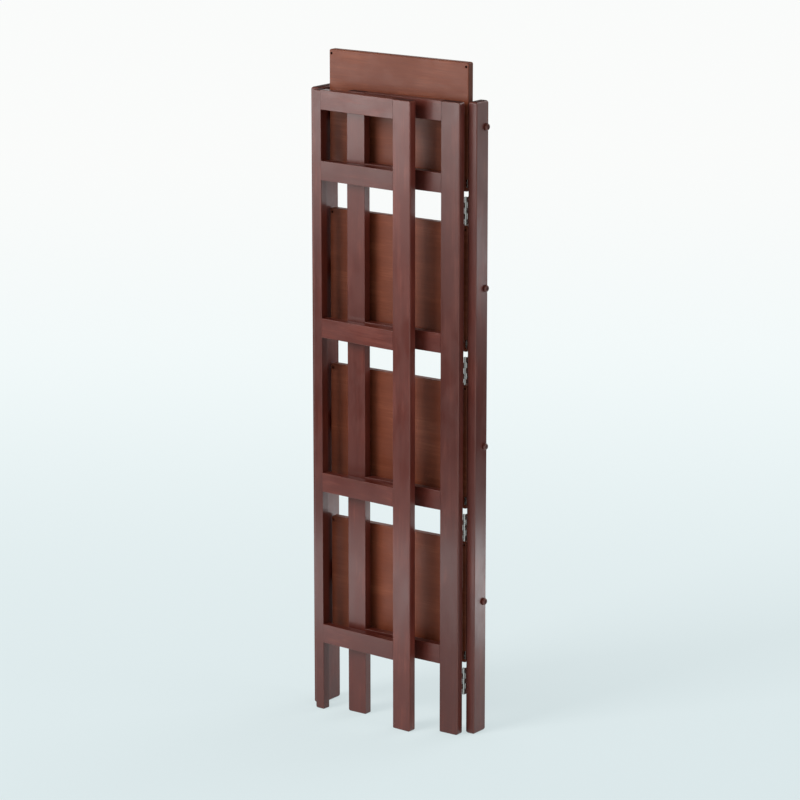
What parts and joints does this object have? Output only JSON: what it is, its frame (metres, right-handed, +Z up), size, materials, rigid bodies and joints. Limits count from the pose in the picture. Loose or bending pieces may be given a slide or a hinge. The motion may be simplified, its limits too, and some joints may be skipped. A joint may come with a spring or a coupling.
{
  "type": "folding bookstand rack",
  "caption": "Free-standing folding bookstand rack whose ladder-like side frames swing on hinges across shelves that flip up between the rear posts.",
  "frame": {"origin": "on the floor, at the middle of the width and depth of the folded rack", "axes": "+Z up; +X to the right seen from the front; -Y towards the front, where the side frames fold"},
  "size_m": [0.3568, 0.0924, 1.21],
  "materials": {
    "frame_wood": "stained dark walnut, satin lacquer",
    "shelf_wood": "stained walnut, satin lacquer, fine horizontal grain",
    "button_wood": "stained dark walnut, satin lacquer",
    "steel": "nickel plated, light wear"
  },
  "bodies": {
    "back_frame": {"rear_post_left": "frame_wood", "rear_post_right": "frame_wood", "back_rail_1": "frame_wood", "back_rail_2": "frame_wood", "back_rail_3": "frame_wood", "back_rail_4": "frame_wood", "rail_button_left_1": "button_wood", "rail_button_left_2": "button_wood", "rail_button_left_3": "button_wood", "rail_button_left_4": "button_wood", "post_hinge_leaf_left_1": "steel", "post_hinge_leaf_left_2": "steel", "post_hinge_leaf_left_3": "steel", "post_hinge_leaf_left_4": "steel", "rail_button_right_1": "button_wood", "rail_button_right_2": "button_wood", "rail_button_right_3": "button_wood", "rail_button_right_4": "button_wood", "post_hinge_leaf_right_1": "steel", "post_hinge_leaf_right_2": "steel", "post_hinge_leaf_right_3": "steel", "post_hinge_leaf_right_4": "steel"},
    "left_side": {"left_hinge_stile": "frame_wood", "left_front_stile": "frame_wood", "left_top_rail": "frame_wood", "left_side_rail_1": "frame_wood", "left_side_rail_2": "frame_wood", "left_side_rail_3": "frame_wood", "left_side_rail_4": "frame_wood", "left_hinge_leaf_1": "steel", "left_hinge_leaf_2": "steel", "left_hinge_leaf_3": "steel", "left_hinge_leaf_4": "steel"},
    "right_side": {"right_hinge_stile": "frame_wood", "right_front_stile": "frame_wood", "right_top_rail": "frame_wood", "right_side_rail_1": "frame_wood", "right_side_rail_2": "frame_wood", "right_side_rail_3": "frame_wood", "right_side_rail_4": "frame_wood", "right_hinge_leaf_1": "steel", "right_hinge_leaf_2": "steel", "right_hinge_leaf_3": "steel", "right_hinge_leaf_4": "steel"},
    "shelf_1": {"shelf_board_1": "shelf_wood", "shelf_pivot_left_1": "steel", "shelf_pivot_right_1": "steel"},
    "shelf_2": {"shelf_board_2": "shelf_wood", "shelf_pivot_left_2": "steel", "shelf_pivot_right_2": "steel"},
    "shelf_3": {"shelf_board_3": "shelf_wood", "shelf_pivot_left_3": "steel", "shelf_pivot_right_3": "steel"},
    "shelf_4": {"shelf_board_4": "shelf_wood", "shelf_pivot_left_4": "steel", "shelf_pivot_right_4": "steel"}
  },
  "joints": [
    {"name": "left_side_swing", "type": "hinge", "parent": "back_frame", "child": "left_side", "pos_m": [-0.15125, -0.01281, 0.572], "axis": [0, 0, -1], "range_deg": [0, 86.2]},
    {"name": "right_side_swing", "type": "hinge", "parent": "back_frame", "child": "right_side", "pos_m": [0.15125, 0.00719, 0.572], "axis": [0, 0, 1], "range_deg": [0, 90]},
    {"name": "shelf_1_fold", "type": "hinge", "parent": "back_frame", "child": "shelf_1", "pos_m": [0, 0.02319, 0.144], "axis": [1, 0, 0], "range_deg": [0, 90]},
    {"name": "shelf_2_fold", "type": "hinge", "parent": "back_frame", "child": "shelf_2", "pos_m": [0, 0.02319, 0.429], "axis": [1, 0, 0], "range_deg": [0, 90]},
    {"name": "shelf_3_fold", "type": "hinge", "parent": "back_frame", "child": "shelf_3", "pos_m": [0, 0.02319, 0.714], "axis": [1, 0, 0], "range_deg": [0, 90]},
    {"name": "shelf_4_fold", "type": "hinge", "parent": "back_frame", "child": "shelf_4", "pos_m": [0, 0.02319, 0.999], "axis": [1, 0, 0], "range_deg": [0, 90]}
  ],
  "couplings": [
    {"joint": "right_side_swing", "follows": "left_side_swing", "ratio": 0.35},
    {"joint": "shelf_1_fold", "follows": "left_side_swing", "ratio": 0.028},
    {"joint": "shelf_2_fold", "follows": "left_side_swing", "ratio": 0.028},
    {"joint": "shelf_3_fold", "follows": "left_side_swing", "ratio": 0.028},
    {"joint": "shelf_4_fold", "follows": "left_side_swing", "ratio": 0.028}
  ]
}
